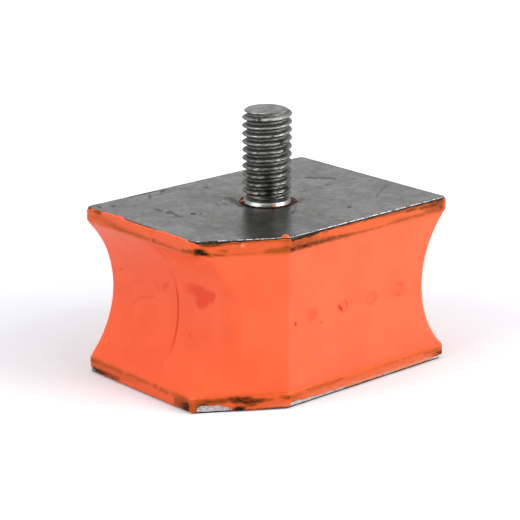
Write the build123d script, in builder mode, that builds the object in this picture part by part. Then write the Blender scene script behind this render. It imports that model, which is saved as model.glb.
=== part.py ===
from build123d import *
from math import radians, tan
import os

# Block-shaped rubber-metal mount. A waisted block of orange elastomer is moulded between two
# steel plates and runs up round their edges. A threaded stud stands on the top plate, and a
# blind threaded bush is set in the bottom plate. One corner of the block is cut off.
# Millimetres. The origin is the centre of the underside, +X along the block, +Z up the stud.

# Block
block_length = 48.0
block_width = 35.0
block_height = 28.0
cut_length = 12.9  # cut corner, along the long side
cut_width = 8.3  # cut corner, along the short end

# Steel plates
plate_thickness = 2.0
plate_corner = 0.8  # rounding in plan
plate_edge_chamfer = 0.2  # outer edge, on the face turned away from the rubber

# Elastomer
skin = 0.4  # rubber over the plates' edges
skin_setback = 0.2  # how far the plates stand out of the skin
upper_lip_height = 2.3  # lip round the top plate, measured from the plate's outer face
lower_lip_height = 2.55  # lip round the bottom plate
lip_round = 0.3
lip_step = 0.12  # how far the body's sides lie behind the lips
waist_depth = 5.1  # how far each end is hollowed, measured from the lip
end_corner_round = 1.0  # hollowed end to long side
crease_round = 2.5  # hollowed end to cut face
side_corner_round = 1.5  # cut face to long side

# Stud, M8
stud_radius = 4.0
stud_root_radius = 3.2
stud_reach = 15.3  # above the top plate
stud_tip_chamfer = 0.6
stud_tip_slope = 0.55  # height of the tip chamfer
stud_collar = 0.8  # plain collar above the plate
stud_runout = 0.5  # thread run-out groove above the collar
stud_hole_gap = 0.5  # between the stud and the edge of its hole
head_radius = 7.5
head_height = 2.5
head_chamfer = 0.6

# Threaded bush, M8
bush_bore_radius = 3.4
bush_bore_depth = 8.0
bush_mouth_chamfer = 0.7
bush_drill_angle = 31.0  # slope of the drilled end of the bore, in degrees
bush_wall = 2.6
bush_end_wall = 1.5
bush_flange_width = 2.5
bush_flange_thickness = 1.5

half_length = block_length / 2
half_width = block_width / 2
top_plate_base = block_height - plate_thickness
stud_tip = block_height + stud_reach
head_base = top_plate_base - head_height
waist_top = block_height - upper_lip_height
groove_base = block_height + stud_collar
groove_bevel = stud_radius - stud_root_radius
bush_radius = bush_bore_radius + bush_wall
flange_radius = bush_radius + bush_flange_width
flange_top = plate_thickness + bush_flange_thickness
bore_tip = bush_bore_depth + bush_bore_radius * tan(radians(bush_drill_angle))
bush_top = bore_tip + bush_end_wall


# The block seen from above, drawn in from its edge, with its corners rounded or left sharp.
def plan_outline(inset, corner):
    with BuildSketch() as outline:
        with BuildLine():
            Polyline(
                (-half_length + cut_length, -half_width),
                (half_length, -half_width),
                (half_length, half_width),
                (-half_length, half_width),
                (-half_length, -half_width + cut_width),
                close=True,
            )
        make_face()
        if inset > 0:
            offset(amount=-inset, kind=Kind.INTERSECTION)
        if corner > 0:
            fillet(outline.vertices(), corner)
    return outline.sketch


with BuildPart() as top_plate:
    with BuildSketch(Plane.XY.offset(top_plate_base)):
        add(plan_outline(skin, plate_corner))
        Circle(stud_radius + stud_hole_gap, mode=Mode.SUBTRACT)
    extrude(amount=plate_thickness)
    upper_face = top_plate.faces().sort_by(Axis.Z)[-1]
    chamfer(upper_face.outer_wire().edges(), plate_edge_chamfer)
top_plate.part.label = "top_plate"


with BuildPart() as bottom_plate:
    with BuildSketch():
        add(plan_outline(skin, plate_corner))
        Circle(bush_radius, mode=Mode.SUBTRACT)
    extrude(amount=plate_thickness)
    lower_face = bottom_plate.faces().sort_by(Axis.Z)[0]
    chamfer(lower_face.outer_wire().edges(), plate_edge_chamfer)
bottom_plate.part.label = "bottom_plate"


# Turned stud: a head under the top plate, a plain collar, a run-out groove and the shank.
with BuildPart() as stud:
    with BuildSketch(Plane.XZ):
        with BuildLine():
            Polyline(
                (0, head_base),
                (head_radius - head_chamfer, head_base),
                (head_radius, head_base + head_chamfer),
                (head_radius, top_plate_base),
                (stud_radius, top_plate_base),
                (stud_radius, groove_base),
                (stud_root_radius, groove_base),
                (stud_root_radius, groove_base + stud_runout),
                (stud_radius, groove_base + stud_runout + groove_bevel),
                (stud_radius, stud_tip - stud_tip_slope),
                (stud_radius - stud_tip_chamfer, stud_tip),
                (0, stud_tip),
                close=True,
            )
        make_face()
    revolve(axis=Axis.Z)
stud.part.label = "stud"


# Turned bush: a neck in the bottom plate, a flange on its inner face and a blind drilled bore.
with BuildPart() as threaded_bush:
    with BuildSketch(Plane.XZ):
        with BuildLine():
            Polyline(
                (bush_bore_radius + bush_mouth_chamfer, 0),
                (bush_radius, 0),
                (bush_radius, plate_thickness),
                (flange_radius, plate_thickness),
                (flange_radius, flange_top),
                (bush_radius, flange_top),
                (bush_radius, bush_top),
                (0, bush_top),
                (0, bore_tip),
                (bush_bore_radius, bush_bore_depth),
                (bush_bore_radius, bush_mouth_chamfer),
                close=True,
            )
        make_face()
    revolve(axis=Axis.Z)
threaded_bush.part.label = "threaded_bush"


with BuildPart() as rubber_body:
    # Body between the lips: an end-on waisted profile, kept inside the plan with the cut corner.
    with BuildSketch(Plane.XZ):
        end = half_length - lip_step
        waist = half_length - waist_depth
        middle = (lower_lip_height + waist_top) / 2
        with BuildLine():
            Line((-end, lower_lip_height), (end, lower_lip_height))
            ThreePointArc((end, lower_lip_height), (waist, middle), (end, waist_top))
            Line((end, waist_top), (-end, waist_top))
            ThreePointArc((-end, waist_top), (-waist, middle), (-end, lower_lip_height))
        make_face()
    extrude(amount=half_width, both=True)
    with BuildSketch():
        add(plan_outline(lip_step, 0))
    extrude(amount=block_height, mode=Mode.INTERSECT)

    fillet(rubber_body.edges().filter_by(Axis.Z), side_corner_round)
    fillet(rubber_body.edges().filter_by(GeomType.ELLIPSE), crease_round)
    arcs = rubber_body.edges().filter_by(GeomType.CIRCLE)
    fillet(arcs.filter_by(Plane.XZ), end_corner_round)

    # Lips round both plates, with the rubber closed over the plates' inner faces.
    with BuildSketch(Plane.XY.offset(skin_setback)):
        add(plan_outline(0, plate_corner + skin))
    extrude(amount=lower_lip_height - skin_setback)
    with BuildSketch(Plane.XY.offset(waist_top)):
        add(plan_outline(0, plate_corner + skin))
    extrude(amount=upper_lip_height - skin_setback)
    fillet(rubber_body.edges().group_by(Axis.Z)[0], lip_round)
    fillet(rubber_body.edges().group_by(Axis.Z)[-1], lip_round)

    # The plates, the stud's head and the bush are moulded in.
    with BuildSketch(Plane.XY, Plane.XY.offset(top_plate_base)):
        add(plan_outline(skin, plate_corner))
    extrude(amount=plate_thickness, mode=Mode.SUBTRACT)
    add(stud.part, mode=Mode.SUBTRACT)
    with BuildSketch(Plane.XY.offset(plate_thickness)):
        Circle(bush_radius)
    extrude(amount=bush_top - plate_thickness, mode=Mode.SUBTRACT)
    with BuildSketch(Plane.XY.offset(plate_thickness)):
        Circle(flange_radius)
    extrude(amount=bush_flange_thickness, mode=Mode.SUBTRACT)
rubber_body.part.label = "rubber_body"


os.makedirs("parts", exist_ok=True)
for piece in (top_plate, bottom_plate, stud, threaded_bush, rubber_body):
    export_step(piece.part, f"parts/{piece.part.label}.step")
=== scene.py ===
import bpy
import math
import numpy as np
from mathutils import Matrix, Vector, noise


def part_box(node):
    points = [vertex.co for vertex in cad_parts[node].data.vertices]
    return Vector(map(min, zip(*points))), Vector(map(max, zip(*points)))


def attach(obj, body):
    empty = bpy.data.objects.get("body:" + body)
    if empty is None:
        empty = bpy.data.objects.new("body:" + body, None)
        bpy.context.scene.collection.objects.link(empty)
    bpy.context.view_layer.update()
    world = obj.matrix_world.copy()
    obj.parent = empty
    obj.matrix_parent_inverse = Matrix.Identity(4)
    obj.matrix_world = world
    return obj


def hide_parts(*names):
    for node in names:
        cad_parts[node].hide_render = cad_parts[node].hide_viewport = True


# A block-shaped rubber-metal mount: orange elastomer moulded between two steel plates,
# with a threaded stud on top and a threaded bush in the underside.
# Shapes are worked out in millimetres and placed in metres.
mm = 0.001
# points of a mesh that lie closer than this, in mm, are joined
weldGap = 0.002

# The camera comes first, at the place that a fit to the block's corners gave.
camera = {
    "place": (-0.22566, -0.2492, 0.12364),
    "azimuth": -41.97,
    "elevation": 17.44,
    "lens": 149.8,
}
bpy.ops.object.camera_add(
    location=camera["place"],
    rotation=(math.radians(90 - camera["elevation"]), 0, math.radians(camera["azimuth"])),
)
bpy.context.object.data.lens = camera["lens"]
bpy.context.object.data.clip_start = 0.01
bpy.context.scene.camera = bpy.context.object

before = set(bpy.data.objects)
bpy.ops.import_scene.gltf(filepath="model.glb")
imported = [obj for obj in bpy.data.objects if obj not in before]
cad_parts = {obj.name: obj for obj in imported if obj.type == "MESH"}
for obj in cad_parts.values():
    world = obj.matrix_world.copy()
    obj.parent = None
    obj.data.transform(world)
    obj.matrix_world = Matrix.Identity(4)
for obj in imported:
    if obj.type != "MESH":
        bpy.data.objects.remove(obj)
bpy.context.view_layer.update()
print("frame loaded")

# The block's own size, in millimetres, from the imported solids.
low, high = (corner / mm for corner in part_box("rubber_body"))
plateLow, plateHigh = (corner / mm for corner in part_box("top_plate"))
studLow, studHigh = (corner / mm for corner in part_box("stud"))
bushLow, bushHigh = (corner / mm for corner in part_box("threaded_bush"))
block = {
    "length": high.x - low.x,
    "width": high.y - low.y,
    "height": plateHigh.z,
    "plate": plateHigh.z - plateLow.z,
    "skin": high.x - plateHigh.x,
    "cutLength": 12.9,
    "cutWidth": 8.3,
    "plateCorner": 0.8,
}


# Small helpers for modelling

def deselectAll():
    if bpy.context.mode != "OBJECT":
        bpy.ops.object.mode_set(mode="OBJECT")
    bpy.ops.object.select_all(action="DESELECT")


def pick(piece):
    deselectAll()
    piece.select_set(True)
    bpy.context.view_layer.objects.active = piece


def wrapSheet(name, places, paints=None):
    # lays a flat grid over a table of places in mm, closes the seam and the open ends;
    # each paint is a table of numbers, one for each place, which a material can read
    rows, columns = places.shape[:2]
    deselectAll()
    bpy.ops.mesh.primitive_grid_add(x_subdivisions=columns - 1, y_subdivisions=rows - 1, size=1)
    piece = bpy.context.object
    piece.name = piece.data.name = name
    flat = np.empty(len(piece.data.vertices) * 3)
    piece.data.vertices.foreach_get("co", flat)
    flat = flat.reshape(-1, 3)
    column = np.rint((flat[:, 0] + 0.5) * (columns - 1)).astype(int)
    row = np.rint((flat[:, 1] + 0.5) * (rows - 1)).astype(int)
    piece.data.vertices.foreach_set("co", (places[row, column] * mm).ravel())
    for label, values in (paints or {}).items():
        layer = piece.data.attributes.new(label, "FLOAT", "POINT")
        layer.data.foreach_set("value", values[row, column].astype(np.float32))
    bpy.ops.object.mode_set(mode="EDIT")
    bpy.ops.mesh.select_all(action="SELECT")
    bpy.ops.mesh.remove_doubles(threshold=weldGap * mm)
    bpy.ops.mesh.select_all(action="DESELECT")
    bpy.ops.mesh.select_mode(type="EDGE")
    bpy.ops.mesh.select_non_manifold(extend=False)
    bpy.ops.mesh.fill_holes(sides=0)
    bpy.ops.mesh.select_all(action="SELECT")
    bpy.ops.mesh.normals_make_consistent(inside=False)
    bpy.ops.object.mode_set(mode="OBJECT")
    return piece


def closeRing(table):
    # repeats the first column after the last one
    table = np.asarray(table)
    return np.concatenate([table, table[:, :1]], axis=1)


def cutRound(piece, radius, base, top):
    # takes a round plug out of a piece, on the stud's axis
    deselectAll()
    bpy.ops.mesh.primitive_cylinder_add(
        vertices=96, radius=radius * mm, depth=(top - base) * mm,
        location=(0, 0, (top + base) / 2 * mm),
    )
    plug = bpy.context.object
    pick(piece)
    cut = piece.modifiers.new("Cut", "BOOLEAN")
    cut.operation = "DIFFERENCE"
    cut.solver = "EXACT"
    cut.object = plug
    bpy.ops.object.modifier_apply(modifier=cut.name)
    bpy.data.objects.remove(plug)


def smoothShade(piece, angle):
    pick(piece)
    bpy.ops.object.shade_smooth_by_angle(angle=math.radians(angle))


def finishPiece(piece, material, node):
    piece.data.materials.clear()
    piece.data.materials.append(material)
    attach(piece, "root")
    if node:
        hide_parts(node)
    print("made", piece.name, len(piece.data.polygons), "faces")


def roughness(points, grain, octaves):
    # fractal noise from -1 to 1 at each place, grain in mm
    return np.array([noise.fractal(Vector(p) / grain, 0.9, 2.0, octaves) for p in points])


def ease(value, start, end):
    # 0 below the start, 1 past the end, smooth between
    share = np.clip((np.asarray(value, float) - start) / (end - start), 0, 1)
    return share * share * (3 - 2 * share)


# The plan outline: five sides, named, with a rounded corner after each one

halfLength, halfWidth = block["length"] / 2, block["width"] / 2
cutFoot = -halfLength + block["cutLength"]
cutHead = -halfWidth + block["cutWidth"]
# the way the cut face looks, without its signs
cutNormal = np.array([block["cutWidth"], block["cutLength"]])
cutNormal = cutNormal / np.hypot(*cutNormal)
sideNames = ("longSide", "rightEnd", "back", "leftEnd", "cutFace")


def planCorners(inset, recess):
    # the ends lie further in by the recess, and follow the cut face down as they go
    front, rear = -halfWidth + inset, halfWidth - inset
    end = halfLength - inset - recess
    footX = cutFoot + inset * (1 - cutNormal[1]) / cutNormal[0]
    headY = cutHead + (inset - cutNormal[0] * (inset + recess)) / cutNormal[1]
    return [
        np.array(corner)
        for corner in ((footX, front), (end, front), (end, rear), (-end, rear), (-end, headY))
    ]


def planRing(inset, recess, corners, spacing, arcSteps, centred):
    # returns places round the outline, with the side and the distance along it for each
    points = planCorners(inset, recess)
    ring, sides, along, tangents, arcs = [], [], [], [], []
    count = len(points)
    for k, here in enumerate(points):
        back = points[k - 1] - here
        ahead = points[(k + 1) % count] - here
        back, ahead = back / np.hypot(*back), ahead / np.hypot(*ahead)
        half = math.acos(np.clip(back @ ahead, -1, 1)) / 2
        reach = corners[k] / math.tan(half)
        middle = here + (back + ahead) / np.hypot(*(back + ahead)) * corners[k] / math.sin(half)
        tangents.append((here + back * reach, here + ahead * reach))
        arcs.append(middle)
    for k in range(count):
        nextOne = (k + 1) % count
        start, stop = tangents[k][1], tangents[nextOne][0]
        whole = np.hypot(*(points[nextOne] - points[k]))
        for share in sideStops(k, start, stop, spacing, centred):
            place = start + (stop - start) * share
            ring.append(place)
            sides.append(k)
            along.append(np.hypot(*(place - points[k])))
        middle = arcs[nextOne]
        first, last = stop - middle, tangents[nextOne][1] - middle
        turn = math.atan2(first[0] * last[1] - first[1] * last[0], first @ last)
        for step in range(arcSteps):
            angle = turn * step / arcSteps
            swing = np.array([
                first[0] * math.cos(angle) - first[1] * math.sin(angle),
                first[0] * math.sin(angle) + first[1] * math.cos(angle),
            ])
            ring.append(middle + swing)
            sides.append(k)
            along.append(whole)
    return np.array(ring), np.array(sides), np.array(along)


sharpPlan = planCorners(0, 0)
sideLengths = [
    float(np.hypot(*(stop - start)))
    for start, stop in zip(sharpPlan, sharpPlan[1:] + sharpPlan[:1])
]


def sideStops(side, start, stop, spacing, centred):
    # shares of a side at which it has points; a centred end also has close ones, at 0.08 and
    # 0.2 mm from mid-width, for the parting ridge
    steps = max(2, round(sideLengths[side] / spacing))
    if not centred or sideNames[side] not in ("rightEnd", "leftEnd"):
        return [step / steps for step in range(steps)]
    length = abs(stop[1] - start[1])
    middle = abs(start[1]) / length
    near, far = 0.08 / length, 0.2 / length
    half = math.ceil(steps / 2)
    shares = [(middle - far) * step / half for step in range(half + 1)]
    shares += [middle - near, middle, middle + near]
    return shares + [middle + far + (1 - middle - far) * step / half for step in range(half)]


def alongTable(table, sides, along):
    # a value that changes along each side, given as (distance, value) pairs for each side's name
    result = np.zeros(len(along))
    for number, name in enumerate(sideNames):
        here = sides == number
        if name in table:
            distances, values = zip(*table[name])
            result[here] = np.interp(along[here], distances, values)
    return result


# Shader helpers: a value wraps a socket, and arithmetic on it adds Math nodes

class Value:
    def __init__(self, recipe, socket):
        self.recipe = recipe
        self.socket = socket

    def math(self, operation, left, right):
        return self.recipe.node("ShaderNodeMath", {"operation": operation}, {0: left, 1: right})

    def __add__(self, other):
        return self.math("ADD", self, other)

    def __radd__(self, other):
        return self.math("ADD", other, self)

    def __sub__(self, other):
        return self.math("SUBTRACT", self, other)

    def __rsub__(self, other):
        return self.math("SUBTRACT", other, self)

    def __mul__(self, other):
        return self.math("MULTIPLY", self, other)

    def __rmul__(self, other):
        return self.math("MULTIPLY", other, self)

    def __pow__(self, other):
        return self.math("POWER", self, other)

    def __abs__(self):
        return self.recipe.node("ShaderNodeMath", {"operation": "ABSOLUTE"}, {0: self})

    def least(self, other):
        return self.math("MINIMUM", self, other)

    def most(self, other):
        return self.math("MAXIMUM", self, other)


class Recipe:
    # the node tree of a material or of the world, with places in mm
    def __init__(self, owner, coordinates="Object", scale=1 / mm):
        self.owner = owner
        owner.use_nodes = True
        self.tree = owner.node_tree
        self.tree.nodes.clear()
        self.place = self.scaled(self.node("ShaderNodeTexCoord", output=coordinates), scale)

    def node(self, kind, settings=None, inputs=None, output=0):
        made = self.tree.nodes.new(kind)
        for name, value in (settings or {}).items():
            setattr(made, name, value)
        for name, value in (inputs or {}).items():
            if isinstance(value, Value):
                self.tree.links.new(value.socket, made.inputs[name])
            else:
                made.inputs[name].default_value = value
        return Value(self, made.outputs[output]) if made.outputs else made

    def axis(self, name):
        return self.node("ShaderNodeSeparateXYZ", None, {0: self.place}, name)

    def attribute(self, name):
        return self.node("ShaderNodeAttribute", {"attribute_name": name}, output="Fac")

    def ray(self, kind):
        return self.node("ShaderNodeLightPath", output=f"Is {kind} Ray")

    def speckle(self, grain, detail=2.0, stretch=(1, 1, 1), shift=(0, 0, 0), rough=0.5):
        # noise from 0 to 1, grain in mm
        place = self.node(
            "ShaderNodeMapping", {"vector_type": "POINT"},
            {"Vector": self.place, "Location": shift, "Scale": stretch},
        )
        return self.node(
            "ShaderNodeTexNoise", None,
            {"Vector": place, "Scale": 1 / grain, "Detail": detail, "Roughness": rough},
        )

    def ramp(self, value, start, end, first, last):
        # a smooth run from the first number to the last, and level outside it
        return self.node(
            "ShaderNodeMapRange", {"interpolation_type": "SMOOTHSTEP"},
            {"Value": value, "From Min": start, "From Max": end, "To Min": first, "To Max": last},
        )

    def rise(self, value, start, end):
        return self.ramp(value, start, end, 0.0, 1.0)

    def fall(self, value, start, end):
        return self.ramp(value, start, end, 1.0, 0.0)

    def vector(self, operation, left, right, output=0):
        # right is None where the operation takes only one vector
        inputs = {0: left} if right is None else {0: left, 1: right}
        return self.node("ShaderNodeVectorMath", {"operation": operation}, inputs, output)

    def scaled(self, vector, factor):
        return self.node(
            "ShaderNodeVectorMath", {"operation": "SCALE"}, {0: vector, "Scale": factor}
        )

    def facing(self, azimuth):
        # how far a place lies towards an azimuth, given in degrees
        turn = math.radians(azimuth)
        return self.vector("DOT_PRODUCT", self.place, (math.cos(turn), math.sin(turn), 0), "Value")

    def bent(self, grain, amount):
        # the place, shifted about by noise, so that marks get uneven outlines
        noisy = {"Vector": self.place, "Scale": 1 / grain, "Detail": 2.0}
        shift = self.node("ShaderNodeTexNoise", None, noisy, "Color")
        shift = self.scaled(self.vector("SUBTRACT", shift, (0.5, 0.5, 0.5)), amount)
        return self.vector("ADD", self.place, shift)

    def marks(self, plane, table, soft=0.6, place=None):
        # soft marks, each round a line from start to end, given on a plane such as "XZ" in mm
        def spread(pair):
            return np.array([pair[plane.index(name)] if name in plane else 0.0 for name in "XYZ"])

        flat = self.vector("MULTIPLY", place or self.place, tuple(spread((1.0,) * len(plane))))
        total = None
        for start, end, half, strength in table:
            first, line = spread(start), spread(end) - spread(start)
            away = self.vector("SUBTRACT", flat, tuple(first))
            if line @ line > 0:
                share = self.vector("DOT_PRODUCT", away, tuple(line / (line @ line)), "Value")
                nearest = self.scaled(tuple(line), share.most(0.0).least(1.0))
                away = self.vector("SUBTRACT", away, nearest)
            length = self.vector("LENGTH", away, None, "Value")
            tone = self.ramp(length, half * (1 - soft), half * (1 + soft), strength, 0.0)
            total = tone if total is None else total.most(tone)
        return total

    def colour(self, share, first, second):
        # each of the two is a Value or a plain red, green and blue
        first, second = (
            (*shade, 1) if isinstance(shade, tuple) else shade for shade in (first, second)
        )
        return self.node("ShaderNodeMix", {"data_type": "RGBA"}, {0: share, 6: first, 7: second}, 2)

    def coats(self, base, shades, layers):
        # lays one shade after another over the base, each where its share says
        for share, shade in layers:
            base = self.colour(share, base, shades[shade])
        return base

    def bump(self, height, depth, under=None):
        # depth in mm
        inputs = {"Height": height, "Distance": depth * mm}
        if under is not None:
            inputs["Normal"] = under
        return self.node("ShaderNodeBump", None, inputs)

    def surface(self, inputs):
        shader = self.node("ShaderNodeBsdfPrincipled", None, inputs)
        self.node("ShaderNodeOutputMaterial", None, {"Surface": shader})
        return self.owner


# Materials

orange = {
    "light": (0.90, 0.112, 0.028),
    "deep": (0.86, 0.099, 0.023),
    # the dirt film on the lips, which also paints the shade in the crease below each lip
    "dirtFilmAndCreaseShade": (0.71, 0.095, 0.015),
    "dirty": (0.42, 0.068, 0.004),
    "brown": (0.19, 0.031, 0.0),
    "black": (0.010, 0.007, 0.005),
    # pale: the colour of painted highlights on the lips' bottom rim and on the bead
    "pale": (0.55, 0.26, 0.15),
    "pip": (0.75, 0.074, 0.010),
    "redMark": (0.72, 0.030, 0.0),
    "deepMark": (0.42, 0.022, 0.0),
    "chips": (0.24, 0.20, 0.13),
    "roughness": 0.40,
    "partingLine": 0.2,
}
# pips on the front side, in mm: x, z, radius, how dark the disc and its ring are
frontPips = (
    (-6.2, 14.45, 1.1, 1.1, 0.0), (0.5, 14.3, 1.05, 0.3, 0.9),
    (6.8, 14.36, 1.2, 0.5, 0.9), (12.7, 14.3, 1.1, 0.35, 0.7),
)
# marks on the front side and on the left end: start, end, half width and strength, in mm;
# x and z on the front side, y and z on the left end
frontMarks = (
    ((-9.78, 14.0), (-9.75, 13.6), 0.24, 0.95),
    ((-4.3, 12.8), (-4.1, 12.72), 0.17, 0.8),
    ((-4.35, 18.8), (-4.25, 18.77), 0.17, 0.45),
    ((-0.35, 14.45), (0.2, 13.85), 0.3, 1.0),
    ((-0.8, 14.65), (-0.4, 14.6), 0.25, 0.4),
    ((0.55, 15.3), (1.2, 15.1), 0.2, 0.3),
    ((1.25, 14.9), (1.45, 14.4), 0.2, 0.42),
    ((12.45, 13.8), (13.0, 13.55), 0.3, 0.42),
    ((12.6, 15.35), (13.4, 15.25), 0.2, 0.3),
    ((13.6, 15.2), (13.8, 14.85), 0.2, 0.7),
    ((13.85, 14.3), (13.8, 13.2), 0.14, 0.28),
    ((12.8, 4.5), (13.1, 4.45), 0.17, 0.35),
    ((19.35, 22.5), (19.5, 22.3), 0.2, 0.4),
    ((18.6, 20.8), (18.75, 20.6), 0.18, 0.4),
)
endMarks = (
    ((13.95, 17.25), (13.7, 17.35), 0.22, 0.75),
    ((-3.3, 10.5), (-3.35, 10.4), 0.26, 0.6),
    ((11.2, 12.2), (9.4, 13.4), 0.4, 0.22),
    ((9.3, 13.6), (6.2, 14.4), 0.15, 0.42),
    ((6.4, 14.4), (6.0, 14.5), 0.17, 0.4),
    ((10.9, 15.8), (9.3, 16.15), 0.13, 0.25),
    ((3.3, 16.9), (2.1, 17.65), 0.36, 0.42),
    ((3.4, 17.0), (3.2, 16.3), 0.3, 0.26),
    ((5.2, 16.9), (4.7, 16.1), 0.42, 0.26),
    ((8.2, 5.0), (4.5, 5.2), 1.6, 0.10),
    ((0.2, 24.2), (-0.25, 23.3), 0.32, 0.4),
    ((0.1, 20.5), (-0.1, 19.2), 0.3, 0.3),
)
# the smudge beside the parting line, on the left end
smudge = (
    ((-0.6, 17.9), (-3.0, 18.0), 0.6, 0.3),
    ((-2.6, 18.0), (-6.4, 18.35), 1.0, 0.72),
    ((-6.0, 18.3), (-9.4, 18.55), 0.62, 0.55),
    ((-6.0, 17.6), (-8.3, 18.1), 0.95, 0.58),
    ((-5.3, 16.1), (-7.0, 17.3), 0.8, 0.54),
)


def pipSpots(share, number):
    # each pip as a mark: its size and which of its two shades is wanted
    return [
        ((x, z), (x, z), radius * share, shades[number]) for x, z, radius, *shades in frontPips
    ]


def orangeElastomer():
    r = Recipe(bpy.data.materials.new("orange_elastomer"))
    cloudy = r.speckle(6.0, 3.0)
    fine = r.speckle(0.35, 3.0)
    patchy = r.speckle(1.3, 3.0, shift=(2, 9, 4))
    x, y, z = r.axis("X"), r.axis("Y"), r.axis("Z")
    # round pips and specks along the front side
    front = r.fall(y, -17.1, -16.8)
    bent = r.bent(0.9, 0.5)
    disc, ring, core = (
        r.marks("XZ", pipSpots(share, number), 0.25, bent)
        for share, number in ((1.0, 0), (1.0, 1), (0.72, 1))
    )
    pipped = disc * 0.9 + (ring - core) * r.rise(patchy, 0.3, 0.5)
    # smudges on the hollow left end
    end = r.fall(x, -17.5, -17.0) * r.rise(y, -12.5, -10.5)
    blurred = r.marks("YZ", smudge, 0.9, r.bent(5.0, 1.4))
    blurred = r.rise(blurred, 0.06, 0.5) * (0.55 + 0.2 * patchy) * r.rise(0 - y, 1.0, 5.5)
    marked = r.marks("YZ", endMarks, 0.7, bent) * (0.65 + 0.5 * fine)
    marked = (marked + blurred) * end + r.marks("XZ", frontMarks, 0.6, bent) * front
    # the mould's parting line on both ends, at mid-width, reddest in its lower half; its darker red is
    # partly its own colour and partly painted shade beside its low ridge
    lined = r.fall(abs(y), orange["partingLine"] * 0.4, orange["partingLine"] * 1.8)
    lined = lined * r.rise(abs(x), 17.5, 18.0) * r.rise(z, 5.5, 9.0)
    red = r.fall(z, 16.0, 18.5) * 1.1 + r.rise(z, 25.5, 25.8) * 0.3
    red = red + r.rise(patchy, 0.42, 0.6) * 0.35
    marked = marked.most((lined * red * 0.9).least(0.74))
    # dirt painted along the lips, with the dirt film's painted shade in the crease under each lip, broken
    # up by noise
    stain = r.attribute("stain")
    uneven = r.speckle(0.9, 3.0, stretch=(1, 1, 2.2), shift=(2, 9, 4))
    broken = stain * (0.7 + 0.6 * uneven) + (fine - 0.5) * 0.4 * r.rise(stain, 0.3, 0.9)
    brown = r.rise(broken, 0.55, 1.1)
    sooty = r.rise(broken + (fine - 0.5) * 0.9, 1.0, 1.6)
    chips = r.rise(r.speckle(0.28, 1.0, shift=(3, 3, 1)), 0.58, 0.66)
    base = r.colour(r.rise(cloudy, 0.35, 0.65), orange["light"], orange["deep"])
    base = r.coats(base, orange, (
        ((pipped * front).least(1.0), "pip"),
        (marked.least(0.95), "redMark"),
        (r.rise(marked, 0.68, 1.05), "deepMark"),
        (r.rise(broken, 0.0, 0.32), "dirtFilmAndCreaseShade"),
        # painted highlights on the lips
        (r.attribute("pale"), "pale"),
        (r.rise(broken, 0.26, 0.72), "dirty"),
        (brown, "brown"),
        (sooty, "black"),
        (chips * r.rise(stain, 1.66, 1.74), "chips"),
    ))
    gloss = orange["roughness"] + (r.speckle(2.0, 3.0) - 0.5) * 0.14 + brown * 0.25
    # the foot of the crease between the left end and the cut face is duller
    dull = r.fall(z, 5.0, 13.0) * r.fall(x, -12.0, -10.0) * r.fall(y, -9.5, -7.0)
    return r.surface({
        "Base Color": base,
        "Roughness": gloss + dull * r.rise(z, 2.4, 3.0) * 0.35,
        "Metallic": (r.rise(broken, 0.05, 0.7) * 0.55 + marked.least(1.0) * 0.5 + sooty).least(0.9),
        "Normal": r.bump(cloudy, 0.10, r.bump(fine, 0.012)),
        "IOR": 1.45,
        "Specular IOR Level": 0.42,
    })


steel = {
    "face": (0.122, 0.120, 0.119),
    "faceDark": (0.066, 0.064, 0.060),
    "pale": (0.21, 0.21, 0.21),
    "bright": (0.60, 0.57, 0.575),
    "grey": (0.31, 0.29, 0.295),
    # the painted glint along the top plate's burr
    "paintedGlint": (0.80, 0.80, 0.79),
    # the colour of the painted shade on the top plate's face
    "dim": (0.018, 0.017, 0.013),
    # black and rusty: crust on the sheared edges, which also paints the shadow in the gap under the skin
    # and along the floor
    "black": (0.012, 0.010, 0.009),
    "rusty": (0.075, 0.050, 0.036),
    "dirt": (0.030, 0.023, 0.017),
    "roughness": 0.31,
}
# marks on the top plate's face, pale and dark: start, end, half width and strength, in mm
plateScuffs = (
    ((-5.0, 5.0), (-5.8, 3.4), 0.3, 0.6), ((-6.2, 5.0), (-6.9, 3.9), 0.28, 0.5),
    ((-19.5, -0.6), (-21.4, -5.2), 1.2, 0.3), ((-22.6, 3.2), (-22.4, -6.0), 0.35, 0.4),
    ((4.5, -8.5), (8.5, -13.5), 2.0, 0.15), ((-14.5, 9.5), (-11.0, 11.0), 1.6, 0.15),
)
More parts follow.
